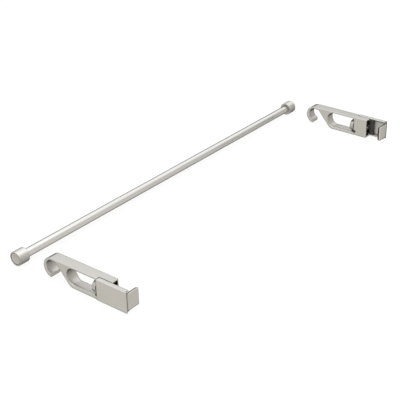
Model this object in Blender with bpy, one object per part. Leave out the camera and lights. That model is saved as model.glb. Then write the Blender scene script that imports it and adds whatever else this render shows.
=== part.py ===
"""Clamp-on window bar: a round steel bar laid beside the two sash brackets that carry it.

Frame: X runs along the bar, +Y points from the room to the window and Z is up.  The origin
is the middle of the whole set, on the plane that every loose piece rests on.  Sizes in side
view are measured from the hook axis, the line the bar lies on once it is hooked in.
The brackets are mirror images; `side` is +1 for the right one and -1 for the left one.
"""
from math import cos, radians, sin

import bmesh
import bpy

MM = 0.001
GAP = 0.3 * MM                      # clearance between neighbouring pieces

# Bar and end caps
TUBE_RADIUS = 6.0 * MM
TUBE_WALL = 1.0 * MM
CAP_RADIUS = 10.1 * MM
CAP_LENGTH = 16.4 * MM
CAP_OUTER_X = 318.9 * MM            # outer face of each cap, from mid-bar
CAP_SOCKET_DEPTH = 9.0 * MM
CAP_EDGE = 0.7 * MM
CAP_RIM = 1.7 * MM
CAP_RECESS_DEPTH = 1.3 * MM
FACE_DISC_THICKNESS = 0.9 * MM
FACE_DISC_DISH = 0.35 * MM
CAP_SCREW_RADIUS = 1.4 * MM
PLUG_LENGTH = 14.0 * MM

# Bracket body, side view in the YZ plane; the hook's bore is centred on the hook axis
SPAN = 610.0 * MM                   # between the middles of the two brackets
BODY_WIDTH = 16.5 * MM
BODY_TOP = 13.6 * MM
BODY_BOTTOM = -17.1 * MM
BODY_END = 98.9 * MM
BODY_EDGE = 0.8 * MM
HOOK_BORE = 10.6 * MM
HOOK_OUTER = 14.6 * MM
HOOK_OUTER_CENTRE = (-1.0 * MM, -1.0 * MM)
HOOK_TIP_OUTER = 260.0              # degrees from +Y towards +Z
HOOK_TIP_INNER = 252.0
HOOK_BORE_END = 70.0
MOUTH_OFFSET = 11.8 * MM            # bore axis to the straight edge of the mouth
MOUTH_NORMAL = 41.6                 # direction of that edge's normal, degrees
MOUTH_LEAD = 3.0 * MM
HEEL_RADIUS = 12.0 * MM

# Finger opening and housing
OPENING_CENTRE = (37.3 * MM, -0.2 * MM)
OPENING_RADIUS = 11.8 * MM
OPENING_END = 76.0 * MM
RAIL_ROUNDING = 3.4 * MM            # radius of the lower rail's edges inside the opening
RAIL_ROUNDING_STEPS = 4
RAIL_ROUNDING_FADE = 4              # how quickly the rounding dies away up the arch
FRONT_WALL = 2.5 * MM
SIDE_WALL = 1.85 * MM
ROOF = 2.0 * MM
SHOULDER = 77.5 * MM                # where the jaw's rebates start
REBATE_INNER_X = 3.0 * MM
REBATE_TOP = 11.2 * MM
REBATE_BOTTOM = -14.1 * MM
REBATE_WALL = 1.8 * MM
SLOT_HEIGHT = 6.6 * MM
NOTCH_TOP = -9.0 * MM               # gap at the foot of the front wall, right through the body
NOTCH_BOTTOM = -13.2 * MM
NOTCH_START = 72.0 * MM
NOTCH_END = 79.5 * MM

# Jaw
JAW_SHEET = 1.6 * MM
JAW_TOP = 13.3 * MM
JAW_BOTTOM = -16.2 * MM
JAW_FLANGE = 1.8 * MM
JAW_END = 127.0 * MM
JAW_BEND = 1.0 * MM
LIP_THICKNESS = 2.0 * MM
LIP_REACH = 22.5 * MM
LIP_TOP = 9.5 * MM
LIP_BOTTOM = -13.5 * MM
SEAM_INSET = 1.6 * MM               # groove beside the fold, in the lip's outer face
SEAM_WIDTH = 0.7 * MM
SEAM_DEPTH = 0.6 * MM
STOP_LENGTH = 5.7 * MM
PAD_THICKNESS = 2.0 * MM
PAD_INSET = 0.7 * MM

# Clamp screw
AXIS_Z = -2.5 * MM
SPINDLE_RADIUS = 3.0 * MM
SPINDLE_END = 98.0 * MM
THREAD_PITCH = 1.0 * MM
THREAD_DEPTH = 0.55 * MM
THREAD_START = 82.0 * MM
CLIP_GROOVE_DEPTH = 0.7 * MM
CLIP_THICKNESS = 0.8 * MM
CLIP_RADIUS = 5.2 * MM
CLIP_MOUTH = 60.0                   # half angle left open, degrees
WHEEL_RADIUS = 8.7 * MM
WHEEL_FACE = 68.1 * MM
WHEEL_THICKNESS = 6.3 * MM
WHEEL_EDGE = 0.7 * MM
WHEEL_RIBS = 48
WHEEL_RIB_DEPTH = 0.22 * MM
WASHER_RADIUS = 6.0 * MM
WASHER_THICKNESS = 1.0 * MM
GRUB_RADIUS = 1.3 * MM
GRUB_LENGTH = 5.2 * MM
NUT_START = 81.9 * MM
NUT_LENGTH = 6.0 * MM

# Where the bar lies at rest, and the axis about which it swings into the hooks
BAR_REST = (-62.7 * MM, BODY_BOTTOM + CAP_RADIUS)
SWING_AXIS = (-27.27 * MM, -40.07 * MM)

# Where the hook axis runs: it centres the set on Y and stands it on the plane Z = 0
HOOK_AXIS_Y = -(JAW_END + BAR_REST[0] - CAP_RADIUS) / 2
HOOK_AXIS_Z = -BODY_BOTTOM

ARC_STEP = 6.0                      # degrees per facet of a cast outline
ROUND = 48                          # facets of a large turned piece
SMALL_ROUND = 24                    # facets of a small turned piece
OVERSHOOT = 2.0 * MM                # how far a cutter runs past the face it opens
SMOOTH_ANGLE = 30.0                 # degrees; sharper edges stay crisp when shaded


# ---------------------------------------------------------------- scene and materials
def clear_scene():
    for obj in list(bpy.data.objects):
        bpy.data.objects.remove(obj, do_unlink=True)


def make_material(name, colour, roughness, metallic):
    material = bpy.data.materials.new(name)
    material.use_nodes = True
    shader = material.node_tree.nodes["Principled BSDF"]
    shader.inputs["Base Color"].default_value = (*colour, 1.0)
    shader.inputs["Roughness"].default_value = roughness
    shader.inputs["Metallic"].default_value = metallic
    return material


def satin_nickel(name):
    return make_material(name, (0.62, 0.61, 0.58), 0.34, 1.0)


def brushed_steel(name):
    return make_material(name, (0.66, 0.66, 0.65), 0.22, 1.0)


def plain_steel(name):
    return make_material(name, (0.42, 0.42, 0.42), 0.40, 1.0)


def black_steel(name):
    return make_material(name, (0.06, 0.06, 0.06), 0.45, 1.0)


def dark_rubber(name):
    return make_material(name, (0.035, 0.033, 0.03), 0.75, 0.0)


def black_nylon(name):
    return make_material(name, (0.05, 0.05, 0.05), 0.55, 0.0)


# ---------------------------------------------------------------- mesh helpers
def add_frame(name, x, y, z):
    """An empty to hang pieces on, placed relative to the hook axis at mid-span."""
    frame = bpy.data.objects.new(name, None)
    frame.location = (x, HOOK_AXIS_Y + y, HOOK_AXIS_Z + z)
    bpy.context.collection.objects.link(frame)
    return frame


def add_object(name, mesh_builder, parent, location=(0.0, 0.0, 0.0), material=None, turned=False):
    """Turn a finished bmesh into a named object hung on its frame."""
    bmesh.ops.recalc_face_normals(mesh_builder, faces=mesh_builder.faces)
    mesh = bpy.data.meshes.new(name)
    mesh_builder.to_mesh(mesh)
    mesh_builder.free()
    if turned:
        mesh.shade_smooth()
        mesh.set_sharp_from_angle(angle=radians(SMOOTH_ANGLE))
    obj = bpy.data.objects.new(name, mesh)
    obj.parent = parent
    obj.location = location
    if material:
        obj.data.materials.append(material)
    bpy.context.collection.objects.link(obj)
    return obj


def arc(centre, radius, start, end):
    """Points on an arc, both ends included; angles in degrees."""
    steps = max(2, round(abs(end - start) / ARC_STEP))
    points = []
    for index in range(steps + 1):
        angle = radians(start + (end - start) * index / steps)
        points.append((centre[0] + radius * cos(angle), centre[1] + radius * sin(angle)))
    return points


def prism(outline, low, high, place):
    """Extrude a plane outline from low to high; place(u, v, w) gives the point in space."""
    builder = bmesh.new()
    ends = []
    for w in (low, high):
        ends.append([builder.verts.new(place(u, v, w)) for u, v in outline])
    builder.faces.new(ends[0])
    builder.faces.new(ends[1])
    count = len(outline)
    for index in range(count):
        after = (index + 1) % count
        builder.faces.new((ends[0][index], ends[0][after], ends[1][after], ends[1][index]))
    return builder


def box(x_range, y_range, z_range, side=1):
    """A box given by its ranges, mirrored in X for the left bracket."""
    outline = [(x_range[i] * side, y_range[j]) for i, j in ((0, 0), (1, 0), (1, 1), (0, 1))]
    return prism(outline, z_range[0], z_range[1], lambda u, v, w: (u, v, w))


def lathe(profile, segments, place):
    """Turn (station, radius) points about an axis; a closed loop that may touch the axis."""
    builder = bmesh.new()
    rings = []
    for station, radius in profile:
        if radius < 1e-9:
            rings.append([builder.verts.new(place(station, 0.0, 0.0))])
            continue
        ring = []
        for index in range(segments):
            angle = radians(360.0 * index / segments)
            point = place(station, radius * cos(angle), radius * sin(angle))
            ring.append(builder.verts.new(point))
        rings.append(ring)
    for first, second in zip(rings, rings[1:] + rings[:1]):
        join_rings(builder, first, second)
    return builder


def join_rings(builder, first, second):
    if len(first) == 1 and len(second) == 1:
        return
    count = max(len(first), len(second))
    for index in range(count):
        after = (index + 1) % count
        if len(first) == 1:
            corners = (first[0], second[index], second[after])
        elif len(second) == 1:
            corners = (first[index], second[0], first[after])
        else:
            corners = (first[index], second[index], second[after], first[after])
        builder.faces.new(corners)


def along_x(direction):
    """Placing function for a piece turned about X that points to +X or -X."""
    return lambda station, a, b: (station * direction, a, b)


def along_y(station, a, b):
    return (a, station, b)


def along_z(station, a, b):
    return (a, b, station)


def cylinder_y(radius, y_range, segments):
    low, high = y_range
    return lathe([(low, 0.0), (low, radius), (high, radius), (high, 0.0)], segments, along_y)


def cylinder_z(radius, z_range, segments):
    low, high = z_range
    return lathe([(low, 0.0), (low, radius), (high, radius), (high, 0.0)], segments, along_z)


def cut(target, cutter_name, cutter_mesh, parent, location=(0.0, 0.0, 0.0)):
    """Subtract a hidden cutter from the target with an exact Boolean modifier."""
    cutter = add_object(cutter_name, cutter_mesh, parent, location)
    cutter.hide_render = True
    cutter.display_type = "WIRE"
    modifier = target.modifiers.new(cutter_name, "BOOLEAN")
    modifier.operation = "DIFFERENCE"
    modifier.solver = "EXACT"
    modifier.object = cutter


def round_edges(target, width, segments=2, angle=35.0):
    modifier = target.modifiers.new("edges", "BEVEL")
    modifier.width = width
    modifier.segments = segments
    modifier.limit_method = "ANGLE"
    modifier.angle_limit = radians(angle)


# ---------------------------------------------------------------- bracket body
def body_outline():
    """Side view of the casting: hook, mouth, heel, rails and housing."""
    normal = (cos(radians(MOUTH_NORMAL)), sin(radians(MOUTH_NORMAL)))
    run = (normal[1], -normal[0])
    lead = tuple(normal[i] * MOUTH_OFFSET - run[i] * MOUTH_LEAD for i in (0, 1))
    heel_z = BODY_BOTTOM + HEEL_RADIUS
    heel_y = (MOUTH_OFFSET + HEEL_RADIUS - heel_z * normal[1]) / normal[0]
    outline = [(BODY_END, BODY_BOTTOM), (BODY_END, BODY_TOP)]
    outline += arc(HOOK_OUTER_CENTRE, HOOK_OUTER, 90.0, HOOK_TIP_OUTER)
    outline += arc((0.0, 0.0), HOOK_BORE, HOOK_TIP_INNER, HOOK_BORE_END)
    outline.append(lead)
    outline += arc((heel_y, heel_z), HEEL_RADIUS, 180.0 + MOUTH_NORMAL, 270.0)
    return outline


def opening_outline(spread):
    """Finger opening in side view, its lower part spread outwards by a small distance."""
    centre_y, centre_z = OPENING_CENTRE
    outline = []
    for y, z in arc(OPENING_CENTRE, OPENING_RADIUS, 90.0, 270.0):
        down = max(0.0, (centre_z - z) / OPENING_RADIUS)
        scale = 1.0 + spread * down ** RAIL_ROUNDING_FADE / OPENING_RADIUS
        outline.append((centre_y + (y - centre_y) * scale, centre_z + (z - centre_z) * scale))
    bottom = centre_z - OPENING_RADIUS - spread
    top = centre_z + OPENING_RADIUS
    return outline + [(OPENING_END, bottom), (OPENING_END, top)]


def opening_cutter(half, reach):
    """Cutter for the opening; it spreads near both side faces, which rounds the lower rail."""
    stations = []
    for step in range(RAIL_ROUNDING_STEPS + 1):
        angle = radians(90.0 * step / RAIL_ROUNDING_STEPS)
        x = half - RAIL_ROUNDING * (1.0 - sin(angle))
        stations.append((x, RAIL_ROUNDING * (1.0 - cos(angle))))
    stations.append((reach, RAIL_ROUNDING))
    mirrored = [(-x, spread) for x, spread in reversed(stations)]
    builder = bmesh.new()
    rings = []
    for x, spread in mirrored + stations:
        rings.append([builder.verts.new((x, y, z)) for y, z in opening_outline(spread)])
    builder.faces.new(rings[0])
    builder.faces.new(rings[-1])
    for first, second in zip(rings, rings[1:]):
        join_rings(builder, first, second)
    bmesh.ops.triangulate(builder, faces=builder.faces)
    return builder


def across(u, v, w):
    """Outline drawn in YZ and extruded along X."""
    return (w, u, v)


def make_body(side, prefix, frame):
    half = BODY_WIDTH / 2
    body = add_object(f"{prefix}_bracket_body", prism(body_outline(), -half, half, across), frame,
                      material=satin_nickel(f"{prefix}_body_nickel"))
    reach = half + OVERSHOOT
    past_end = BODY_END + OVERSHOOT
    cavity_start = OPENING_END + FRONT_WALL
    cavity_side = half - SIDE_WALL
    round_edges(body, BODY_EDGE)
    cut(body, f"{prefix}_cut_opening", opening_cutter(half, reach), frame)
    cavities = {
        "deep": ((-cavity_side, REBATE_INNER_X - REBATE_WALL),
                 (BODY_BOTTOM + ROOF, BODY_TOP - ROOF)),
        "wide": ((-cavity_side, cavity_side),
                 (REBATE_BOTTOM + ROOF, REBATE_TOP - REBATE_WALL)),
    }
    for label, (x_range, z_range) in cavities.items():
        cavity = box(x_range, (cavity_start, past_end), z_range, side)
        cut(body, f"{prefix}_cut_cavity_{label}", cavity, frame)
    rebates = {"top": (REBATE_TOP, BODY_TOP + OVERSHOOT),
               "bottom": (BODY_BOTTOM - OVERSHOOT, REBATE_BOTTOM)}
    for label, z_range in rebates.items():
        rebate = box((REBATE_INNER_X, reach), (SHOULDER, past_end), z_range, side)
        cut(body, f"{prefix}_cut_rebate_{label}", rebate, frame)
    slot_z = (AXIS_Z - SLOT_HEIGHT / 2, AXIS_Z + SLOT_HEIGHT / 2)
    slot = box((cavity_side - GAP, reach), (cavity_start + 1.0 * MM, past_end), slot_z, side)
    cut(body, f"{prefix}_cut_slot", slot, frame)
    notch = box((-reach, reach), (NOTCH_START, NOTCH_END), (NOTCH_BOTTOM, NOTCH_TOP), side)
    cut(body, f"{prefix}_cut_notch", notch, frame)
    bore = cylinder_y(SPINDLE_RADIUS + GAP, (OPENING_END - OVERSHOOT, cavity_start + OVERSHOOT),
                      SMALL_ROUND)
    cut(body, f"{prefix}_cut_bore", bore, frame, (0.0, 0.0, AXIS_Z))
    return body


# ---------------------------------------------------------------- jaw
def jaw_plan(outer, inner):
    """Plan view of the jaw blank: side plate with the lip folded across its end."""
    lip_end = outer - LIP_REACH
    outline = [(inner, SHOULDER + GAP), (outer, SHOULDER + GAP)]
    outline += arc((outer - JAW_BEND, JAW_END - JAW_BEND), JAW_BEND, 0.0, 90.0)
    outline += [(lip_end, JAW_END), (lip_end, JAW_END - LIP_THICKNESS),
                (inner, JAW_END - LIP_THICKNESS)]
    return outline


def make_jaw(side, prefix, frame):
    plate_inner = BODY_WIDTH / 2 + GAP
    outer = plate_inner + JAW_SHEET
    inner = REBATE_INNER_X + GAP
    lip_inner_y = JAW_END - LIP_THICKNESS
    lip_end = outer - LIP_REACH
    blank = prism(jaw_plan(outer, inner), JAW_BOTTOM, JAW_TOP, lambda u, v, w: (u * side, v, w))
    jaw = add_object(f"{prefix}_jaw", blank, frame, material=satin_nickel(f"{prefix}_jaw_nickel"))
    round_edges(jaw, 0.4 * MM)
    channel = box((inner - OVERSHOOT, plate_inner), (SHOULDER - OVERSHOOT, lip_inner_y),
                  (JAW_BOTTOM + JAW_FLANGE, JAW_TOP - JAW_FLANGE), side)
    cut(jaw, f"{prefix}_cut_channel", channel, frame)
    seam = box((outer - SEAM_INSET - SEAM_WIDTH, outer - SEAM_INSET),
               (JAW_END - SEAM_DEPTH, JAW_END + OVERSHOOT),
               (JAW_BOTTOM - OVERSHOOT, JAW_TOP + OVERSHOOT), side)
    cut(jaw, f"{prefix}_cut_seam", seam, frame)
    corners = {"top": (LIP_TOP, JAW_TOP + OVERSHOOT),
               "bottom": (JAW_BOTTOM - OVERSHOOT, LIP_BOTTOM)}
    for label, z_range in corners.items():
        corner = box((lip_end - OVERSHOOT, plate_inner), (lip_inner_y, JAW_END + OVERSHOOT),
                     z_range, side)
        cut(jaw, f"{prefix}_cut_corner_{label}", corner, frame)
    return jaw


def make_lip_pad(side, prefix, frame):
    plate_inner = BODY_WIDTH / 2 + GAP
    lip_end = plate_inner + JAW_SHEET - LIP_REACH
    back = JAW_END - LIP_THICKNESS - GAP
    pad = box((lip_end + PAD_INSET, plate_inner - PAD_INSET), (back - PAD_THICKNESS, back),
              (LIP_BOTTOM + PAD_INSET, LIP_TOP - PAD_INSET), side)
    pad = add_object(f"{prefix}_lip_pad", pad, frame, material=dark_rubber(f"{prefix}_pad_rubber"))
    round_edges(pad, 0.35 * MM, segments=1)


def make_jaw_stop(side, prefix, frame):
    """Block in the jaw's channel that meets the housing's end when the jaw is drawn fully in."""
    start = BODY_END + GAP
    stop = box((REBATE_INNER_X + GAP, BODY_WIDTH / 2), (start, start + STOP_LENGTH),
               (JAW_BOTTOM + JAW_FLANGE + GAP, JAW_TOP - JAW_FLANGE - GAP), side)
    stop = add_object(f"{prefix}_jaw_stop", stop, frame,
                      material=black_nylon(f"{prefix}_stop_nylon"))
    round_edges(stop, 0.4 * MM)


# ---------------------------------------------------------------- clamp screw
def spindle_profile():
    """Plain shank, clip groove, then the threaded length drawn as rings one pitch apart."""
    start = WHEEL_FACE + GAP
    chamfer = 0.5 * MM
    groove_start = OPENING_END + FRONT_WALL + 0.1 * MM
    groove_end = groove_start + CLIP_THICKNESS + 2 * GAP
    groove_radius = SPINDLE_RADIUS - CLIP_GROOVE_DEPTH
    profile = [(start, 0.0), (start, SPINDLE_RADIUS - chamfer), (start + chamfer, SPINDLE_RADIUS),
               (groove_start, SPINDLE_RADIUS), (groove_start, groove_radius),
               (groove_end, groove_radius), (groove_end, SPINDLE_RADIUS)]
    turns = int((SPINDLE_END - 1.0 * MM - THREAD_START) / THREAD_PITCH)
    for turn in range(turns):
        crest = THREAD_START + turn * THREAD_PITCH
        profile.append((crest, SPINDLE_RADIUS))
        profile.append((crest + THREAD_PITCH / 2, SPINDLE_RADIUS - THREAD_DEPTH))
    profile += [(SPINDLE_END - 1.0 * MM, SPINDLE_RADIUS),
                (SPINDLE_END, SPINDLE_RADIUS - THREAD_DEPTH - chamfer), (SPINDLE_END, 0.0)]
    return profile


def make_spindle(prefix, axis):
    add_object(f"{prefix}_spindle", lathe(spindle_profile(), SMALL_ROUND, along_y), axis,
               material=plain_steel(f"{prefix}_spindle_steel"), turned=True)


def make_wheel(prefix, axis):
    """Ribbed finger wheel, with a cross hole for its grub screw."""
    outline = []
    for rib in range(WHEEL_RIBS):
        for part, radius in ((0.0, WHEEL_RADIUS - WHEEL_RIB_DEPTH), (0.5, WHEEL_RADIUS)):
            angle = radians(360.0 * (rib + part) / WHEEL_RIBS)
            outline.append((radius * cos(angle), radius * sin(angle)))
    back = WHEEL_FACE + WHEEL_THICKNESS
    rim = prism(outline, WHEEL_FACE, back, lambda u, v, w: (u, w, v))
    wheel = add_object(f"{prefix}_clamp_wheel", rim, axis,
                       material=satin_nickel(f"{prefix}_wheel_nickel"))
    round_edges(wheel, WHEEL_EDGE, segments=1, angle=60.0)
    bore = cylinder_y(SPINDLE_RADIUS + GAP, (WHEEL_FACE - OVERSHOOT, back + OVERSHOOT),
                      SMALL_ROUND)
    cut(wheel, f"{prefix}_cut_wheel_bore", bore, axis)
    hole = cylinder_z(GRUB_RADIUS + GAP, (-WHEEL_RADIUS - OVERSHOOT, 0.0), SMALL_ROUND)
    cut(wheel, f"{prefix}_cut_wheel_hole", hole, axis,
        (0.0, WHEEL_FACE + WHEEL_THICKNESS / 2, 0.0))


def make_wheel_screw(prefix, axis):
    inner_end = -(SPINDLE_RADIUS + GAP)
    screw = cylinder_z(GRUB_RADIUS, (inner_end - GRUB_LENGTH, inner_end), SMALL_ROUND)
    add_object(f"{prefix}_wheel_screw", screw, axis,
               (0.0, WHEEL_FACE + WHEEL_THICKNESS / 2, 0.0),
               material=plain_steel(f"{prefix}_wheel_screw_steel"), turned=True)


def make_thrust_washer(prefix, axis):
    back = OPENING_END - GAP
    front = back - WASHER_THICKNESS
    bore = SPINDLE_RADIUS + GAP
    profile = [(front, bore), (front, WASHER_RADIUS), (back, WASHER_RADIUS), (back, bore)]
    add_object(f"{prefix}_thrust_washer", lathe(profile, SMALL_ROUND, along_y), axis,
               material=black_nylon(f"{prefix}_washer_nylon"), turned=True)


def make_retaining_clip(prefix, axis):
    start = OPENING_END + FRONT_WALL + 0.1 * MM + GAP
    bore = SPINDLE_RADIUS - CLIP_GROOVE_DEPTH + GAP
    first, last = CLIP_MOUTH - 90.0, 270.0 - CLIP_MOUTH
    outline = arc((0.0, 0.0), CLIP_RADIUS, first, last) + arc((0.0, 0.0), bore, last, first)
    clip = prism(outline, start, start + CLIP_THICKNESS, lambda u, v, w: (u, w, v))
    add_object(f"{prefix}_retaining_clip", clip, axis,
               material=plain_steel(f"{prefix}_clip_steel"))


def make_clamp_nut(side, prefix, frame):
    """Block that the screw draws along the housing; its neck reaches the jaw through the slot."""
    half = BODY_WIDTH / 2
    block_side = half - SIDE_WALL - GAP
    y_range = (NUT_START, NUT_START + NUT_LENGTH)
    z_range = (REBATE_BOTTOM + ROOF + GAP, REBATE_TOP - REBATE_WALL - GAP)
    neck = SLOT_HEIGHT / 2 - GAP
    outline = [(-block_side, z_range[0]), (block_side, z_range[0]),
               (block_side, AXIS_Z - neck), (half, AXIS_Z - neck),
               (half, AXIS_Z + neck), (block_side, AXIS_Z + neck),
               (block_side, z_range[1]), (-block_side, z_range[1])]
    block = prism(outline, *y_range, lambda u, v, w: (u * side, w, v))
    nut = add_object(f"{prefix}_clamp_nut", block, frame,
                     material=black_steel(f"{prefix}_nut_steel"))
    bore = cylinder_y(SPINDLE_RADIUS + GAP, (y_range[0] - OVERSHOOT, y_range[1] + OVERSHOOT),
                      SMALL_ROUND)
    cut(nut, f"{prefix}_cut_nut_bore", bore, frame, (0.0, 0.0, AXIS_Z))


def make_bracket(side, prefix):
    frame = add_frame(f"{prefix}_bracket_frame", side * SPAN / 2, 0.0, 0.0)
    axis = add_frame(f"{prefix}_screw_axis", side * SPAN / 2, 0.0, AXIS_Z)
    make_body(side, prefix, frame)
    make_jaw(side, prefix, frame)
    make_lip_pad(side, prefix, frame)
    make_jaw_stop(side, prefix, frame)
    make_clamp_nut(side, prefix, frame)
    make_spindle(prefix, axis)
    make_wheel(prefix, axis)
    make_wheel_screw(prefix, axis)
    make_thrust_washer(prefix, axis)
    make_retaining_clip(prefix, axis)


# ---------------------------------------------------------------- bar
def tube_end_x():
    return CAP_OUTER_X - CAP_LENGTH + CAP_SOCKET_DEPTH - GAP


def make_tube(swing, centre):
    end = tube_end_x()
    inner = TUBE_RADIUS - TUBE_WALL
    profile = [(-end, inner), (-end, TUBE_RADIUS), (end, TUBE_RADIUS), (end, inner)]
    add_object("bar_tube", lathe(profile, ROUND, along_x(1)), swing, centre,
               material=brushed_steel("tube_steel"), turned=True)


def cap_profile():
    inner_x = CAP_OUTER_X - CAP_LENGTH
    socket = TUBE_RADIUS + GAP
    recess = CAP_RADIUS - CAP_RIM
    bevel = CAP_EDGE * (1.0 - cos(radians(45.0)))
    return [(inner_x, socket), (inner_x, CAP_RADIUS - CAP_EDGE),
            (inner_x + bevel, CAP_RADIUS - bevel), (inner_x + CAP_EDGE, CAP_RADIUS),
            (CAP_OUTER_X - CAP_EDGE, CAP_RADIUS), (CAP_OUTER_X - bevel, CAP_RADIUS - bevel),
            (CAP_OUTER_X, CAP_RADIUS - CAP_EDGE), (CAP_OUTER_X, recess),
            (CAP_OUTER_X - CAP_RECESS_DEPTH, recess), (CAP_OUTER_X - CAP_RECESS_DEPTH, 0.0),
            (inner_x + CAP_SOCKET_DEPTH, 0.0), (inner_x + CAP_SOCKET_DEPTH, socket)]


def make_cap(side, prefix, swing, centre):
    cap = add_object(f"{prefix}_end_cap", lathe(cap_profile(), ROUND, along_x(side)), swing,
                     centre, material=satin_nickel(f"{prefix}_cap_nickel"),
                     turned=True)
    hole = cylinder_z(CAP_SCREW_RADIUS + GAP, (-CAP_RADIUS - OVERSHOOT, 0.0), SMALL_ROUND)
    cut(cap, f"{prefix}_cut_cap_hole", hole, swing, cap_screw_place(side, centre))


def cap_screw_place(side, centre):
    return (side * (CAP_OUTER_X - CAP_LENGTH + CAP_SOCKET_DEPTH / 2), centre[1], centre[2])


def make_cap_screw(side, prefix, swing, centre):
    screw = cylinder_z(CAP_SCREW_RADIUS, (-CAP_RADIUS + GAP, -TUBE_RADIUS - 2 * GAP), SMALL_ROUND)
    add_object(f"{prefix}_cap_screw", screw, swing, cap_screw_place(side, centre),
               material=plain_steel(f"{prefix}_cap_screw_steel"), turned=True)


def make_face_disc(side, prefix, swing, centre):
    radius = CAP_RADIUS - CAP_RIM - GAP
    back = CAP_OUTER_X - CAP_RECESS_DEPTH + GAP
    front = back + FACE_DISC_THICKNESS
    profile = [(back, 0.0), (back, radius), (front, radius), (front, radius * 0.9),
               (front - FACE_DISC_DISH * 0.75, radius * 0.5), (front - FACE_DISC_DISH, 0.0)]
    add_object(f"{prefix}_cap_face", lathe(profile, ROUND, along_x(side)), swing, centre,
               material=satin_nickel(f"{prefix}_face_nickel"), turned=True)


def make_tube_plug(side, prefix, swing, centre):
    end = tube_end_x() - GAP
    radius = TUBE_RADIUS - TUBE_WALL - GAP
    profile = [(end - PLUG_LENGTH, 0.0), (end - PLUG_LENGTH, radius), (end, radius), (end, 0.0)]
    add_object(f"{prefix}_tube_plug", lathe(profile, SMALL_ROUND, along_x(side)), swing, centre,
               material=black_nylon(f"{prefix}_plug_nylon"), turned=True)


def make_bar():
    swing = add_frame("bar_swing_axis", 0.0, *SWING_AXIS)
    centre = (0.0, BAR_REST[0] - SWING_AXIS[0], BAR_REST[1] - SWING_AXIS[1])
    make_tube(swing, centre)
    for side, prefix in SIDES:
        make_cap(side, prefix, swing, centre)
        make_face_disc(side, prefix, swing, centre)
        make_cap_screw(side, prefix, swing, centre)
        make_tube_plug(side, prefix, swing, centre)


SIDES = ((1, "right"), (-1, "left"))

clear_scene()
for bracket_side, bracket_prefix in SIDES:
    make_bracket(bracket_side, bracket_prefix)
make_bar()
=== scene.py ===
"""Looks of the clamp-on window bar: materials, helical spindles, socket screws, ribbed pads,
floor, studio light and camera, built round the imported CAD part."""
from math import cos, pi, radians, sin

import bmesh
import bpy
from mathutils import Matrix, Vector


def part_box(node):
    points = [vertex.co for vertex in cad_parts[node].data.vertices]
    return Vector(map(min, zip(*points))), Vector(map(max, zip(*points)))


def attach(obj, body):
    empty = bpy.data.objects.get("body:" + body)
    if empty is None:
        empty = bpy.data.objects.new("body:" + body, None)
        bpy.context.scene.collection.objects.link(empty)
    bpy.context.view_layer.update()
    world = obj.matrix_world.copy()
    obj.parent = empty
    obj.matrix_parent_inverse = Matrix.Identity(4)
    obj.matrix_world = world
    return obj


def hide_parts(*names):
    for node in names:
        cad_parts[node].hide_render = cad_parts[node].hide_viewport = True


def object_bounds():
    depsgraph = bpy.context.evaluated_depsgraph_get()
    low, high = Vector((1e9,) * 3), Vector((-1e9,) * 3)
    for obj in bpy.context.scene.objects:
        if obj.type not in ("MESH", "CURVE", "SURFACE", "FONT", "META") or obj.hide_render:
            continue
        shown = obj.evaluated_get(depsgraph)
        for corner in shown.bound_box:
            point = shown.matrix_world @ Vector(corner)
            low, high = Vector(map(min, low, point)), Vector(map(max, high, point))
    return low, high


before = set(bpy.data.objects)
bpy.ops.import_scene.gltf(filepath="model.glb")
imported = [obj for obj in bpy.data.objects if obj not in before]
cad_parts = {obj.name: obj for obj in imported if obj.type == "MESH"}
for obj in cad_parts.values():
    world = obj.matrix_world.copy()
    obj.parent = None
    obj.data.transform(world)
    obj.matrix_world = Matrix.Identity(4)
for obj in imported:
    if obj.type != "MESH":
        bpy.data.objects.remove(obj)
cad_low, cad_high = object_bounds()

MM = 0.001
SIDES = (("right", 1), ("left", -1))


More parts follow.
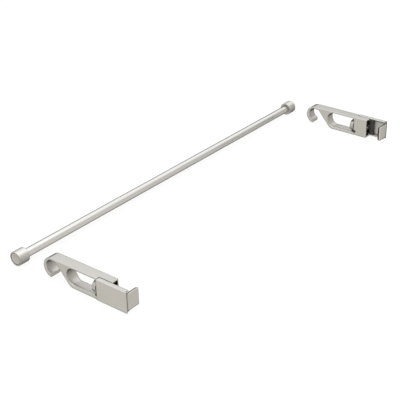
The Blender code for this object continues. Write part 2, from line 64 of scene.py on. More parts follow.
# ---------------------------------------------------------------- node helpers
class Tree:
    """Builds a node tree: add() makes a node, and its inputs take values or other outputs."""

    def __init__(self, tree):
        self.tree = tree

    def put(self, socket, value):
        """Link another node's output to an input, or set the input's plain value."""
        if isinstance(value, bpy.types.NodeSocket):
            self.tree.links.new(value, socket)
        else:
            socket.default_value = value

    def add(self, kind, inputs=None, **settings):
        node = self.tree.nodes.new(kind)
        for key, value in settings.items():
            setattr(node, key, value)
        for key, value in (inputs or {}).items():
            self.put(node.inputs[key], value)
        return node

    def math(self, operation, first, second):
        return self.add("ShaderNodeMath", {0: first, 1: second}, operation=operation).outputs[0]

    def product(self, first, second):
        return self.math("MULTIPLY", first, second)

    def vector(self, operation, first, second):
        node = self.add("ShaderNodeVectorMath", {0: first, 1: second}, operation=operation)
        return node.outputs["Value" if operation in ("DOT_PRODUCT", "LENGTH") else "Vector"]

    def scaled(self, value, low, high):
        """Maps a 0..1 value to low..high."""
        return self.math("ADD", self.product(value, high - low), low)

    def step(self, value, start, end):
        """0 below start, 1 above end, and smooth in between; start may be above end."""
        inputs = {"Value": value, "From Min": start, "From Max": end}
        node = self.add("ShaderNodeMapRange", inputs, interpolation_type="SMOOTHSTEP")
        return node.outputs["Result"]

    def within(self, value, low, high, soft):
        """1 where value lies between low and high, with a soft border."""
        return self.product(self.step(value, low - soft, low + soft),
                            self.step(value, high + soft, high - soft))

    def parts(self, vector):
        """The x, y and z of a vector."""
        return self.add("ShaderNodeSeparateXYZ", {0: vector}).outputs

    def noise(self, coordinates, scale, detail):
        inputs = {"Scale": scale, "Detail": detail, "Vector": coordinates}
        return self.add("ShaderNodeTexNoise", inputs).outputs[0]

    def stretched(self, coordinates, scales):
        node = self.add("ShaderNodeMapping", {"Vector": coordinates, "Scale": scales})
        return node.outputs["Vector"]

    def mix(self, factor, first, second, blend="MIX"):
        node = self.add("ShaderNodeMix", data_type="RGBA", blend_type=blend)
        colours = [socket for socket in node.inputs if socket.type == "RGBA"]
        for socket, value in zip([node.inputs[0]] + colours, (factor, first, second)):
            self.put(socket, value)
        return [socket for socket in node.outputs if socket.type == "RGBA"][0]


def rgba(colour, gain=1.0):
    return (colour[0] * gain, colour[1] * gain, colour[2] * gain, 1.0)


def start_material(name):
    material = bpy.data.materials.new(name)
    material.use_nodes = True
    tree = Tree(material.node_tree)
    shader = material.node_tree.nodes["Principled BSDF"]
    return material, tree, shader


def connect(tree, shader, values):
    for key, value in values.items():
        tree.put(shader.inputs[key], value)


# ---------------------------------------------------------------- metals
EDGE_RADIUS = 0.3 * MM                 # rounding that sharp edges are given
EDGE_COSINES = (0.995, 0.86)           # cosines of the rounding's tilt: none, full edge
OUTLINE_RADIUS = 2.4 * MM              # the same rounding, for the painted shade along outlines
OUTLINE_TURN = (0.6, 0.74)             # how far a surface turns from the viewer as the painted shade darkens it
OUTLINE_METALLIC = 0.1                 # share of the metallic value left on an outline, part of the painted outline shade
SPECULAR = 0.5                         # specular level in the open; an outline, with its painted shade, has none
LOWER_SIDE_END = -0.5                  # the normal's height where the painted shade on a lower side is darkest

# Painted shade in a piece's own hollows and narrow corners, and the share of the colour that it
# darkens to.
HOLLOW_REACH = 26.0 * MM               # hollows up to about this wide get painted shade
HOLLOW_HEIGHTS = (0.75, -0.25)         # the normal's heights from no painted shade to full painted shade in a hollow
CORNER_REACH = 1.5 * MM                # corners up to about this wide get painted shade too
CORNER_SHADE = 0.35
SHADE_TONE = 0.2
WORN_TONE = 1.15

STREAK_TONES = (0.93, 1.07)
BEAD_SCALE = 2600.0                    # fine blasted texture
CLOUD_SCALE = 38.0                     # broad, faint patches
LINES_RELIEF = 0.7
BEADS_RELIEF = 0.3
RELIEF_DISTANCE = 0.06 * MM
LINES_ROUGHNESS = 0.06
CLOUD_ROUGHNESS = 0.03
EDGE_POLISH = 0.08                     # how much smoother a worn edge is
DARK_ROUGHNESS = 0.25                  # how much rougher a dark area is
# Dark brown inside the housing: unplated casting, darkened as painted shade of the hollow.
INNER_BROWN = (0.085, 0.077, 0.064)


def edge_mask(tree, radius):
    """Rounded normal, and a value that is 1 along sharp edges and 0 elsewhere."""
    rounded = tree.add("ShaderNodeBevel", {"Radius": radius}, samples=6).outputs["Normal"]
    geometry = tree.add("ShaderNodeNewGeometry").outputs["True Normal"]
    facing = tree.vector("DOT_PRODUCT", rounded, geometry)
    return rounded, tree.step(facing, *EDGE_COSINES)


def crevice(tree, distance):
    """0 in the open and higher in the piece's own corners and hollows."""
    node = tree.add("ShaderNodeAmbientOcclusion", {"Distance": distance}, samples=6,
                    only_local=True)
    return tree.math("SUBTRACT", 1.0, node.outputs["AO"])


def underside(tree, normal, start, end):
    """Goes from 0 to 1 as the height of the normal falls from start to end."""
    return tree.step(tree.parts(normal)[2], start, end)


def wide_rounding(tree):
    """Normal of the surface with its edges taken as widely rounded."""
    node = tree.add("ShaderNodeBevel", {"Radius": OUTLINE_RADIUS}, samples=8)
    return node.outputs["Normal"]


def outline(tree, normal):
    """1 where the surface turns away from the viewer; this drives the painted outline shade."""
    facing = tree.add("ShaderNodeLayerWeight", {"Blend": 0.5, "Normal": normal})
    return tree.step(facing.outputs["Facing"], *OUTLINE_TURN)


def metal(name, colour, roughness, grain, pattern=None, metallic=1.0, wear=0.3, hollow_shade=1.9,
          relief=0.25, blotch=0.05, rim=0.78, below=0.45, below_start=0.05, dark=None,
          dark_colour=INNER_BROWN):
    """Satin or brushed metal.

    grain is the noise scale along x, y and z, high across the brush lines. pattern changes the
    coordinates that the lines follow. rim and below say how much painted shade darkens an
    outline (a surface turning from the viewer) and a lower side, and below_start is the height
    of the normal where the painted shade on a lower side begins. dark gives a mask for an area
    in dark_colour, used for painted shade.
    """
    material, tree, shader = start_material(name)
    space = tree.add("ShaderNodeTexCoord").outputs
    place = space["Object"]
    source = pattern(tree, place) if pattern else place
    lines = tree.noise(tree.stretched(source, grain), 1.0, detail=3.0)
    beads = tree.noise(place, BEAD_SCALE, detail=2.0)
    cloud = tree.noise(place, CLOUD_SCALE, detail=3.0)
    rounded, edge = edge_mask(tree, EDGE_RADIUS)
    wide = wide_rounding(tree)
    turning = outline(tree, wide)

    tone = tree.product(tree.scaled(cloud, 1.0 - blotch, 1.0 + blotch),
                        tree.scaled(lines, *STREAK_TONES))
    lower_side = underside(tree, wide, below_start, LOWER_SIDE_END)
    # Painted shade: darker along outlines that turn from the viewer and on lower sides; rim and
    # below set how much.
    painted_shade_falloff = tree.product(tree.scaled(turning, 1.0, 1.0 - rim),
                           tree.scaled(lower_side, 1.0, 1.0 - below))
    value = tree.product(tone, painted_shade_falloff)
    grey = tree.add("ShaderNodeCombineColor", {0: value, 1: value, 2: value}).outputs[0]
    tinted = tree.mix(1.0, rgba(colour), grey, "MULTIPLY")
    worn = tree.mix(tree.product(edge, wear), tinted, rgba(colour, WORN_TONE))

    # Painted shade: darker in the piece's own hollows, mostly on faces turned down, and in its
    # narrow corners.
    sheltered = tree.product(crevice(tree, HOLLOW_REACH),
                             underside(tree, space["Normal"], *HOLLOW_HEIGHTS))
    painted_shade = tree.math("MAXIMUM", tree.product(sheltered, hollow_shade),
                     tree.product(crevice(tree, CORNER_REACH), CORNER_SHADE))
    finished = tree.mix(tree.math("MINIMUM", painted_shade, 1.0), worn, rgba(colour, SHADE_TONE))

    polish = tree.math("ADD", tree.scaled(lines, roughness - LINES_ROUGHNESS,
                                          roughness + LINES_ROUGHNESS),
                       tree.scaled(cloud, -CLOUD_ROUGHNESS, CLOUD_ROUGHNESS))
    polish = tree.math("SUBTRACT", polish, tree.product(edge, EDGE_POLISH))
    # Painted shade in dark_colour where the dark mask says: inside the housing, beside the
    # jaw's fold.
    if dark:
        covered = dark(tree, place)
        finished = tree.mix(covered, finished, rgba(dark_colour))
        polish = tree.math("ADD", polish, tree.product(covered, DARK_ROUGHNESS))

    height = tree.math("ADD", tree.product(lines, LINES_RELIEF),
                       tree.product(beads, BEADS_RELIEF))
    bump = tree.add("ShaderNodeBump", {"Strength": relief, "Distance": RELIEF_DISTANCE,
                                       "Height": height, "Normal": rounded})
    # Metallic and specular level also fall on outlines, as part of the painted outline shade.
    connect(tree, shader, {
        "Base Color": finished, "Roughness": polish,
        "Metallic": tree.scaled(turning, metallic, metallic * OUTLINE_METALLIC),
        "Specular IOR Level": tree.scaled(turning, SPECULAR, 0.0),
        "Normal": bump.outputs["Normal"]})
    return material


def about_axis(y, z):
    """Cylinder coordinates about a line along X: angle, distance from the line, and x."""
    def pattern(tree, place):
        local = tree.parts(tree.vector("SUBTRACT", place, (0.0, y, z)))
        flat = tree.add("ShaderNodeCombineXYZ", {1: local[1], 2: local[2]})
        distance = tree.vector("LENGTH", flat.outputs[0], (0.0, 0.0, 0.0))
        angle = tree.math("ARCTAN2", local[2], local[1])
        node = tree.add("ShaderNodeCombineXYZ", {0: angle, 1: distance, 2: local[0]})
        return node.outputs[0]
    return pattern


# ---------------------------------------------------------------- rubber and plastic
RUBBER_BLACK = (0.022, 0.021, 0.019)
RUBBER_DUSTY = (0.05, 0.047, 0.043)
RUBBER_ROUGHNESS = (0.68, 0.86)
RUBBER_GRAIN = 3200.0                  # noise scales
RUBBER_DUST = 120.0
DUST_RANGE = (0.45, 0.8)               # noise values from clean to dusty

NYLON_BLACK = (0.028, 0.026, 0.024)
NYLON_BROWN = (0.075, 0.068, 0.058)
NYLON_ROUGHNESS = (0.42, 0.6)
NYLON_TONES = (0.85, 1.3)
NYLON_EDGE_TONE = 2.2
NYLON_EDGE_RADIUS = 0.4 * MM
NYLON_FLOW = (300.0, 90.0, 300.0)      # noise scales along x, y and z
NYLON_PORES = 2400.0


def rubber(name):
    material, tree, shader = start_material(name)
    place = tree.add("ShaderNodeTexCoord").outputs["Object"]
    grain = tree.noise(place, RUBBER_GRAIN, detail=3.0)
    dust = tree.noise(place, RUBBER_DUST, detail=4.0)
    colour = tree.mix(tree.step(dust, *DUST_RANGE), rgba(RUBBER_BLACK), rgba(RUBBER_DUSTY))
    bump = tree.add("ShaderNodeBump", {"Strength": 0.5, "Distance": 0.05 * MM,
                                       "Height": grain})
    connect(tree, shader, {"Base Color": colour,
                           "Roughness": tree.scaled(grain, *RUBBER_ROUGHNESS),
                           "Normal": bump.outputs["Normal"]})
    return material


def nylon(name, colour):
    material, tree, shader = start_material(name)
    place = tree.add("ShaderNodeTexCoord").outputs["Object"]
    flow = tree.noise(tree.stretched(place, NYLON_FLOW), 1.0, detail=3.0)
    pores = tree.noise(place, NYLON_PORES, detail=2.0)
    rounded, edge = edge_mask(tree, NYLON_EDGE_RADIUS)
    body = tree.mix(flow, rgba(colour, NYLON_TONES[0]), rgba(colour, NYLON_TONES[1]))
    tone = tree.mix(edge, body, rgba(colour, NYLON_EDGE_TONE))
    bump = tree.add("ShaderNodeBump", {"Strength": 0.3, "Distance": 0.04 * MM,
                                       "Height": pores, "Normal": rounded})
    connect(tree, shader, {"Base Color": tone,
                           "Roughness": tree.scaled(flow, *NYLON_ROUGHNESS),
                           "Normal": bump.outputs["Normal"]})
    return material


# ---------------------------------------------------------------- shading of CAD pieces
SHARP_ANGLE = radians(50.0)            # a CAD piece's edge stays sharp from here up
MERGE_DISTANCE = 1e-6
FACE_WEIGHT = 80                       # 50 is neutral, more favours the large faces' normals


def smoothing_group():
    """Node group that joins the tessellation's corners and keeps only real edges sharp."""
    group = bpy.data.node_groups.new("smooth_by_angle", "GeometryNodeTree")
    group.interface.new_socket("Geometry", in_out="INPUT", socket_type="NodeSocketGeometry")
    group.interface.new_socket("Geometry", in_out="OUTPUT", socket_type="NodeSocketGeometry")
    tree = Tree(group)
    source = tree.add("NodeGroupInput").outputs[0]
    merged = tree.add("GeometryNodeMergeByDistance",
                      {"Geometry": source, "Distance": MERGE_DISTANCE})
    cleared = tree.add("GeometryNodeRemoveAttribute", {"Geometry": merged.outputs[0],
                                                       "Name": "custom_normal"})
    smooth = tree.add("GeometryNodeSetShadeSmooth", {0: cleared.outputs[0]}, domain="FACE")
    angle = tree.add("GeometryNodeInputMeshEdgeAngle").outputs["Unsigned Angle"]
    flat = tree.add("FunctionNodeCompare", {0: angle, 1: SHARP_ANGLE},
                    data_type="FLOAT", operation="LESS_EQUAL")
    sharp = tree.add("GeometryNodeSetShadeSmooth",
                     {"Geometry": smooth.outputs[0], "Shade Smooth": flat.outputs[0]},
                     domain="EDGE")
    tree.add("NodeGroupOutput", {0: sharp.outputs[0]})
    return group


SMOOTHING = smoothing_group()


def smooth_shading(obj):
    modifier = obj.modifiers.new("smooth by angle", "NODES")
    modifier.node_group = SMOOTHING
    weighted = obj.modifiers.new("weighted normals", "WEIGHTED_NORMAL")
    weighted.keep_sharp = True
    weighted.weight = FACE_WEIGHT


def dress(node, material):
    """Give a CAD piece its material and smooth shading."""
    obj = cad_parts[node]
    obj.data.materials.clear()
    obj.data.materials.append(material)
    smooth_shading(obj)


# ---------------------------------------------------------------- new pieces
NEW_SHARP_ANGLE = radians(40.0)        # the same limit for pieces built here


def add_piece(name, builder, material, body, node):
    """Turn a finished bmesh into a piece that stands for a CAD node and rides on its body."""
    bmesh.ops.recalc_face_normals(builder, faces=builder.faces)
    mesh = bpy.data.meshes.new(name)
    builder.to_mesh(mesh)
    builder.free()
    mesh.shade_smooth()
    mesh.set_sharp_from_angle(angle=NEW_SHARP_ANGLE)
    mesh.materials.append(material)
    obj = bpy.data.objects.new(name, mesh)
    bpy.context.scene.collection.objects.link(obj)
    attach(obj, body)
    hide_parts(node)


def skin(builder, rings):
    """Faces between rings of equal size; a ring of one vertex closes the end to a point."""
    for first, second in zip(rings, rings[1:]):
        count = max(len(first), len(second))
        for index in range(count):
            after = (index + 1) % count
            if len(first) == 1:
                corners = (first[0], second[index], second[after])
            elif len(second) == 1:
                corners = (first[index], second[0], first[after])
            else:
                corners = (first[index], second[index], second[after], first[after])
            builder.faces.new(corners)


THREAD_PITCH = 1.0 * MM
THREAD_DEPTH = 0.55 * MM
THREAD_FADE = 1.2 * MM                 # length over which the thread grows to full depth
THREAD_ROOT = 1.15                     # above 1 the root of the V is flat
THREAD_SEGMENTS = 40
THREAD_STEPS = 8                       # rings per turn of thread
THREAD_GAP = 1.2 * MM                  # plain shank between the clip's groove and the thread
SPINDLE_CHAMFER = 0.5 * MM
CLIP_ROOM = 0.3 * MM                   # on each side of the clip, in its groove
CLIP_GROOVE_DEPTH = 0.7 * MM


def thread_cut(y, start, end, turn):
    """Depth of a right-hand V thread at station y and at a share of a turn."""
    phase = ((y - start) / THREAD_PITCH - turn) % 1.0
    groove = 1.0 - abs(2.0 * phase - 1.0)
    fade = min(1.0, max(0.0, (y - start) / THREAD_FADE), max(0.0, (end - y) / THREAD_FADE))
    return THREAD_DEPTH * min(1.0, groove * THREAD_ROOT) * fade


def turned_ring(builder, x, y, z, radius_at):
    """Ring about a line along Y, in the sense of a right-hand turn about +Y."""
    ring = []
    for index in range(THREAD_SEGMENTS):
        turn = index / THREAD_SEGMENTS
        radius = radius_at(turn)
        angle = 2.0 * pi * turn
        ring.append(builder.verts.new((x + radius * sin(angle), y, z + radius * cos(angle))))
    return ring


def make_spindle(prefix, material):
    """Shank with a clip groove and a helical thread, inside the CAD spindle's box."""
    low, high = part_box(f"{prefix}_spindle")
    radius = (high.x - low.x) / 2
    centre_x, centre_z = (low.x + high.x) / 2, (low.z + high.z) / 2
    clip_low, clip_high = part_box(f"{prefix}_retaining_clip")
    groove = (clip_low.y - CLIP_ROOM, clip_high.y + CLIP_ROOM)
    groove_radius = radius - CLIP_GROOVE_DEPTH
    start = groove[1] + THREAD_GAP
    stations = [(low.y, radius - SPINDLE_CHAMFER), (low.y + SPINDLE_CHAMFER, radius),
                (groove[0], radius), (groove[0], groove_radius), (groove[1], groove_radius),
                (groove[1], radius)]
    builder = bmesh.new()
    rings = [[builder.verts.new((centre_x, low.y, centre_z))]]
    for y, ring_radius in stations:
        rings.append(turned_ring(builder, centre_x, y, centre_z, lambda turn: ring_radius))
    count = int((high.y - start) / THREAD_PITCH * THREAD_STEPS)
    for index in range(count + 1):
        y = start + (high.y - start) * index / count
        taper = max(0.0, (y - (high.y - 2 * SPINDLE_CHAMFER)) / 2)
        rings.append(turned_ring(
            builder, centre_x, y, centre_z,
            lambda turn: radius - taper - thread_cut(y, start, high.y, turn)))
    rings.append([builder.verts.new((centre_x, high.y, centre_z))])
    skin(builder, rings)
    add_piece(f"{prefix}_spindle_threaded", builder, material, f"{prefix}_screw",
              f"{prefix}_spindle")


SOCKET_SIDES = 6
SOCKET_STEPS = 4                       # vertices per side of the hexagon
SOCKET_DEPTH = 1.6 * MM
SOCKET_DEPTH_SHARE = 0.45              # at most this share of the screw's length
SOCKET_HALF_WIDTH = 0.56               # shares of the screw's radius
CONE_TIP = 0.45
CONE_LENGTH = 0.5
SCREW_CHAMFER = 0.25 * MM
DRILL_POINT = 1.15                     # depth of the socket's drilled centre in socket depths


def make_socket_screw(name, node, body, material):
    """Set screw that points up, with a hexagon socket in its lower end."""
    low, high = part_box(node)
    x, y = (low.x + high.x) / 2, (low.y + high.y) / 2
    radius = (high.x - low.x) / 2
    depth = min(SOCKET_DEPTH, (high.z - low.z) * SOCKET_DEPTH_SHARE)
    count = SOCKET_SIDES * SOCKET_STEPS
    side_angle = 2 * pi / SOCKET_SIDES
    builder = bmesh.new()

    def ring(z, radius_at):
        vertices = []
        for index in range(count):
            angle = 2 * pi * index / count
            reach = radius_at(angle)
            vertices.append(builder.verts.new((x + reach * cos(angle),
                                               y + reach * sin(angle), z)))
        return vertices

    def circle(ring_radius, z):
        return ring(z, lambda angle: ring_radius)

    def hexagon(z):
        return ring(z, lambda angle: radius * SOCKET_HALF_WIDTH
                    / cos(angle % side_angle - side_angle / 2))

    rings = [[builder.verts.new((x, y, high.z))], circle(radius * CONE_TIP, high.z),
             circle(radius, high.z - radius * CONE_LENGTH),
             circle(radius, low.z + SCREW_CHAMFER), circle(radius - SCREW_CHAMFER, low.z),
             hexagon(low.z), hexagon(low.z + depth),
             [builder.verts.new((x, y, low.z + depth * DRILL_POINT))]]
    skin(builder, rings)
    add_piece(name, builder, material, body, node)


RIB_PITCH = 1.5 * MM
RIB_HEIGHT = 0.7 * MM
RIB_STEPS = 6
RIB_FULLNESS = 0.6                     # power of the sine; lower is fuller
PAD_BORDER = 0.8 * MM


def make_ribbed_pad(prefix, material):
    """Lip pad with rounded grip ribs along X on the face that meets the sash."""
    low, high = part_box(f"{prefix}_lip_pad")
    ribbed = high.z - low.z - 2 * PAD_BORDER
    count = int(ribbed / RIB_PITCH)
    pitch = ribbed / count
    profile = [(low.z, high.y), (low.z, low.y + RIB_HEIGHT / 2),
               (low.z + PAD_BORDER / 2, low.y)]
    for rib in range(count):
        for step in range(RIB_STEPS):
            share = step / RIB_STEPS
            sink = RIB_HEIGHT * (1.0 - sin(pi * share) ** RIB_FULLNESS)
            profile.append((low.z + PAD_BORDER + (rib + share) * pitch, low.y + sink))
    profile += [(high.z - PAD_BORDER, low.y + RIB_HEIGHT), (high.z - PAD_BORDER / 2, low.y),
                (high.z, low.y + RIB_HEIGHT / 2), (high.z, high.y)]
    builder = bmesh.new()
    ends = [[builder.verts.new((x, y, z)) for z, y in profile] for x in (low.x, high.x)]
    for index in range(len(profile)):
        after = (index + 1) % len(profile)
        builder.faces.new((ends[0][index], ends[0][after], ends[1][after], ends[1][index]))
    for end in ends:
        bmesh.ops.triangulate(builder, faces=[builder.faces.new(end)])
    add_piece(f"{prefix}_ribbed_pad", builder, material, f"{prefix}_jaw",
              f"{prefix}_lip_pad")


# ---------------------------------------------------------------- finishes
NICKEL = (0.70, 0.685, 0.655)
# The two brackets are alike; their different hollow shade and jaw sheet brightness are painted
# light and shade, set per side.
BODY_HOLLOW_SHADE = {"right": 1.7, "left": 0.75}
SHEET_NICKEL = {"right": (0.73, 0.715, 0.685), "left": (0.81, 0.795, 0.765)}
# Dark brown of the painted shade beside the jaw's fold and along its flange edge.
JAW_SHADE_BROWN = (0.13, 0.125, 0.115)
ACROSS_Z = (900.0, 900.0, 60.0)        # vertical brush lines
ALONG_X = (45.0, 2600.0, 2600.0)
TURNED = (4.0, 2600.0, 2600.0)         # in angle, distance and x: rings

# Where the dark inside of the housing begins and ends: its unplated casting, darkened as
# painted shade of the hollow. A pair is a soft border, from 0 to 1.
INTERIOR_HALF_WIDTH = 6.6 * MM
INTERIOR_WALL = 2.2 * MM               # height left without the painted shade at the bottom and at the top
INTERIOR_BACK = (20.2 * MM, 19.6 * MM)     # distances from the open end
INTERIOR_RIM = (0.2 * MM, 0.6 * MM)
SLOT_WALL = 4.2 * MM                   # the same as INTERIOR_WALL, for the outward side
SLOT_START = (1.7 * MM, 1.3 * MM)      # how far out from the centre that side starts

# The painted shade beside the jaw's fold, standing in for the dark reflection there.
SEAM_DARKNESS = {1: 0.3, -1: 0.85}     # by side: 1 is right, -1 is left; the painted shade is set per side
SEAM_DEPTHS = (0.7 * MM, 0.3 * MM)     # distances from the jaw's end face
SEAM_INNER = 3.2 * MM                  # distances from the jaw's outer side
SEAM_OUTER = 0.3 * MM
SEAM_SOFT = 0.2 * MM

# The painted shadow along the edge of the jaw's top flange.
FLANGE_DARKNESS = 0.75
FLANGE_DEPTHS = (2.2 * MM, 1.6 * MM)   # distances from the jaw's top
FLANGE_INNER = 0.3 * MM                # distances from the flange's edge, both ways
FLANGE_OUTER = 0.15 * MM
FLANGE_SOFT = 0.1 * MM
FLANGE_END = (1.8 * MM, 2.2 * MM)      # distances from the end face; leaves out the lip


def housing_interior_shade(side):
    """Unplated casting inside the housing, darkened as painted shade of the hollow."""
    low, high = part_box("right_bracket_body")
    centre = side * (low.x + high.x) / 2

    def mask(tree, place):
        x, y, z = tree.parts(place)
        across = tree.within(x, centre - INTERIOR_HALF_WIDTH, centre + INTERIOR_HALF_WIDTH,
                             0.1 * MM)
        back = tree.step(y, high.y - INTERIOR_BACK[0], high.y - INTERIOR_BACK[1])
        rim = tree.step(y, high.y - INTERIOR_RIM[0], high.y - INTERIOR_RIM[1])
        upright = tree.within(z, low.z + INTERIOR_WALL, high.z - INTERIOR_WALL, 0.15 * MM)
        slot = tree.within(z, low.z + SLOT_WALL, high.z - SLOT_WALL, 0.2 * MM)
        outward = tree.product(tree.math("SUBTRACT", x, centre), side)
        inside = tree.math("MAXIMUM", slot, tree.step(outward, *SLOT_START))
        hollow = tree.product(tree.product(across, back), tree.product(upright, rim))
        return tree.product(hollow, inside)
    return mask


def jaw_bend_shade(side):
    """Painted shade beside the fold, and a painted shadow on the top flange's edge."""
    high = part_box("right_jaw")[1]
    flange_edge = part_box("right_jaw_stop")[0].x     # the stop starts where the flanges end

    def mask(tree, place):
        x, y, z = tree.parts(place)
        outward = tree.product(x, side)
        seam = tree.product(
            tree.step(y, high.y - SEAM_DEPTHS[0], high.y - SEAM_DEPTHS[1]),
            tree.within(outward, high.x - SEAM_INNER, high.x - SEAM_OUTER, SEAM_SOFT))
        edge = tree.product(
            tree.step(z, high.z - FLANGE_DEPTHS[0], high.z - FLANGE_DEPTHS[1]),
            tree.within(outward, flange_edge - FLANGE_INNER, flange_edge + FLANGE_OUTER,
                        FLANGE_SOFT))
        edge = tree.product(edge, tree.step(y, high.y - FLANGE_END[0], high.y - FLANGE_END[1]))
        return tree.math("MAXIMUM", tree.product(seam, SEAM_DARKNESS[side]),
                         tree.product(edge, FLANGE_DARKNESS))
    return mask


def dress_all():
    """Make the finishes, dress the CAD pieces and add the pieces built here."""
    low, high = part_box("bar_tube")
    turned = about_axis((low.y + high.y) / 2, (low.z + high.z) / 2)
    steel = metal("plain_steel", (0.52, 0.52, 0.51), roughness=0.33,
                  grain=(700.0, 2600.0, 700.0))
    black_steel = metal("black_steel", (0.055, 0.052, 0.05), roughness=0.42,
                        grain=(900.0, 300.0, 900.0), wear=0.6, hollow_shade=0.6)
    # rim, below and below_start set the painted shade on a piece's outlines and lower sides.
    cap = metal("cap_satin_nickel", (0.78, 0.765, 0.735), roughness=0.3, grain=TURNED,
                pattern=turned, metallic=0.9, rim=0.5, below=0.5, below_start=0.9)
    face = metal("face_satin_nickel", (0.68, 0.665, 0.635), roughness=0.36, grain=TURNED,
                 pattern=turned, metallic=0.85)
    tube = metal("tube_stainless", (0.78, 0.775, 0.76), roughness=0.2, grain=ALONG_X,
                 wear=0.2, blotch=0.03, relief=0.18, rim=0.8, below=0.0)
    wheel = metal("wheel_satin_nickel", (0.66, 0.645, 0.615), roughness=0.38,
                  grain=(500.0, 1800.0, 500.0), metallic=0.85)
    black = nylon("black_nylon", NYLON_BLACK)
    stop = nylon("stop_nylon", NYLON_BROWN)
    pad = rubber("pad_rubber")
    dress("bar_tube", tube)
    for prefix, side in SIDES:
        # Inside the housing the body is darkened as painted shade.
        body = metal(f"{prefix}_cast_nickel", NICKEL, roughness=0.44, grain=ACROSS_Z,
                     metallic=0.85, hollow_shade=BODY_HOLLOW_SHADE[prefix], dark=housing_interior_shade(side))
        # The jaw's dark seam and flange edge are painted shade.
        jaw = metal(f"{prefix}_sheet_nickel", SHEET_NICKEL[prefix], roughness=0.36,
                    grain=ACROSS_Z, metallic=0.85, hollow_shade=1.0, dark=jaw_bend_shade(side),
                    dark_colour=JAW_SHADE_BROWN)
        finishes = {"bracket_body": body, "jaw": jaw, "jaw_stop": stop,
                    "clamp_nut": black_steel, "clamp_wheel": wheel, "retaining_clip": steel,
                    "thrust_washer": black, "end_cap": cap, "cap_face": face,
                    "tube_plug": black}
        for node, material in finishes.items():
            dress(f"{prefix}_{node}", material)
        make_spindle(prefix, steel)
        make_ribbed_pad(prefix, pad)
        make_socket_screw(f"{prefix}_wheel_set_screw", f"{prefix}_wheel_screw",
                          f"{prefix}_screw", steel)
        make_socket_screw(f"{prefix}_cap_set_screw", f"{prefix}_cap_screw", "bar", steel)


# ---------------------------------------------------------------- studio
WHITE = (1.0, 1.0, 1.0)
PAPER = (0.8, 0.8, 0.8)
PAPER_GLOW = 1.1                       # strength of the paper's own light
GLOW_SHARE = 0.8
FLOOR_SIZE = 12.0
FLOOR_DROP = 0.2 * MM


def make_floor():
    """White paper to the camera. Other rays pass it and meet the studio's cards below."""
    builder = bmesh.new()
    half = FLOOR_SIZE / 2
    corners = [(-half, -half), (half, -half), (half, half), (-half, half)]
    level = cad_low.z - FLOOR_DROP
    builder.faces.new([builder.verts.new((x, y, level)) for x, y in corners])
    mesh = bpy.data.meshes.new("floor")
    builder.to_mesh(mesh)
    builder.free()
    floor = bpy.data.objects.new("floor", mesh)
    bpy.context.scene.collection.objects.link(floor)
    material, tree, shader = start_material("floor_paper")
    tree.tree.nodes.remove(shader)
    output = tree.tree.nodes["Material Output"]
    seen = tree.add("ShaderNodeLightPath").outputs["Is Camera Ray"]
    back = tree.add("ShaderNodeNewGeometry").outputs["Backfacing"]
    front = tree.math("SUBTRACT", 1.0, back)
    paper = tree.add("ShaderNodeBsdfDiffuse", {"Color": rgba(PAPER)})
    glow = tree.add("ShaderNodeEmission", {"Color": rgba(WHITE), "Strength": PAPER_GLOW})
    pale = tree.add("ShaderNodeMixShader",
                    {0: GLOW_SHARE, 1: paper.outputs[0], 2: glow.outputs[0]})
    clear = tree.add("ShaderNodeBsdfTransparent")
    both = tree.add("ShaderNodeMixShader", {0: tree.product(seen, front),
                                            1: clear.outputs[0], 2: pale.outputs[0]})
    tree.put(output.inputs["Surface"], both.outputs[0])
    mesh.materials.append(material)


TOWARDS_CAMERA = (0.778, 0.629, 0.0)
CEILING = (1.1, 1.1, 1.09)
CEILING_HEIGHTS = (0.2, 0.54)          # between these the low cards give way to the ceiling
CEILING_SETBACK = 0.22                 # how much higher it starts away from the set's back
SETBACK_TURN = (-0.85, -0.2)           # from straight behind round towards the camera
CARD_BRIGHT = (0.72, 0.705, 0.665)     # low card on the camera's side
CARD_DARK = (0.12, 0.115, 0.105)       # low card behind the set
CARD_TURN = (-0.9, 0.1)                # where the dark card gives way to the bright one


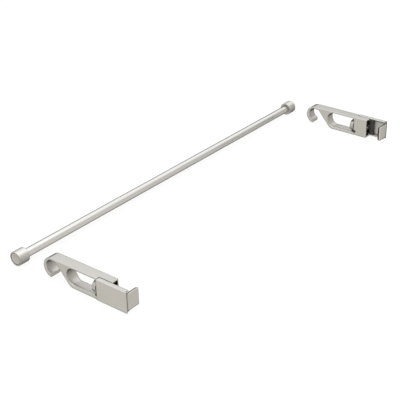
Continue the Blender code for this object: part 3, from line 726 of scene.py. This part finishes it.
def make_world():
    """Studio cards all round: white overhead, grey below in front and dark below behind."""
    world = bpy.data.worlds.new("studio")
    bpy.context.scene.world = world
    world.use_nodes = True
    tree = Tree(world.node_tree)
    background = world.node_tree.nodes["Background"]
    direction = tree.add("ShaderNodeTexCoord").outputs["Generated"]
    height = tree.parts(direction)[2]
    facing = tree.vector("DOT_PRODUCT", direction, TOWARDS_CAMERA)
    cards = tree.mix(tree.step(facing, *CARD_TURN), rgba(CARD_DARK), rgba(CARD_BRIGHT))
    setback = tree.product(tree.step(facing, *SETBACK_TURN), CEILING_SETBACK)
    above = tree.step(tree.math("SUBTRACT", height, setback), *CEILING_HEIGHTS)
    studio = tree.mix(above, cards, rgba(CEILING))
    seen = tree.add("ShaderNodeLightPath").outputs["Is Camera Ray"]
    final = tree.mix(seen, studio, rgba(WHITE))
    tree.put(background.inputs["Color"], final)
    tree.put(background.inputs["Strength"], 1.0)


def add_softbox(name, location, target, size, power):
    """Rectangular area light at location, aimed at target."""
    light = bpy.data.lights.new(name, "AREA")
    light.shape = "RECTANGLE"
    light.size, light.size_y = size
    light.energy = power
    obj = bpy.data.objects.new(name, light)
    obj.location = location
    direction = Vector(target) - Vector(location)
    obj.rotation_euler = direction.to_track_quat("-Z", "Y").to_euler()
    bpy.context.scene.collection.objects.link(obj)


CAMERA_PLACE = (1.0042, 0.7726, 0.6564)
CAMERA_AZIMUTH = 128.959               # degrees, as are the next two
CAMERA_ELEVATION = 27.760
CAMERA_ROLL = -1.246
CAMERA_LENS = 87.386


def make_camera():
    """Camera at the photograph's viewing angle, turned by a small roll."""
    azimuth, elevation = radians(CAMERA_AZIMUTH), radians(CAMERA_ELEVATION)
    back = Vector((sin(azimuth) * cos(elevation), -cos(azimuth) * cos(elevation),
                   sin(elevation)))
    right = Vector((0.0, 0.0, 1.0)).cross(back).normalized()
    up = back.cross(right)
    roll = radians(CAMERA_ROLL)
    rolled_right = right * cos(roll) + up * sin(roll)
    rolled_up = up * cos(roll) - right * sin(roll)
    camera = bpy.data.cameras.new("camera")
    camera.sensor_width = 36.0
    camera.lens = CAMERA_LENS
    camera.clip_start, camera.clip_end = 0.01, 50.0
    obj = bpy.data.objects.new("camera", camera)
    rotation = Matrix((rolled_right, rolled_up, back)).transposed()
    obj.matrix_world = Matrix.Translation(CAMERA_PLACE) @ rotation.to_4x4()
    bpy.context.scene.collection.objects.link(obj)
    bpy.context.scene.camera = obj


def make_studio():
    make_floor()
    make_world()
    add_softbox("overhead", location=(0.0, 0.1, 1.4), target=(0.0, 0.0, 0.0),
                size=(1.6, 1.0), power=1.5)
    make_camera()
    bpy.context.scene.view_settings.view_transform = "Standard"


dress_all()
make_studio()
bpy.context.view_layer.update()
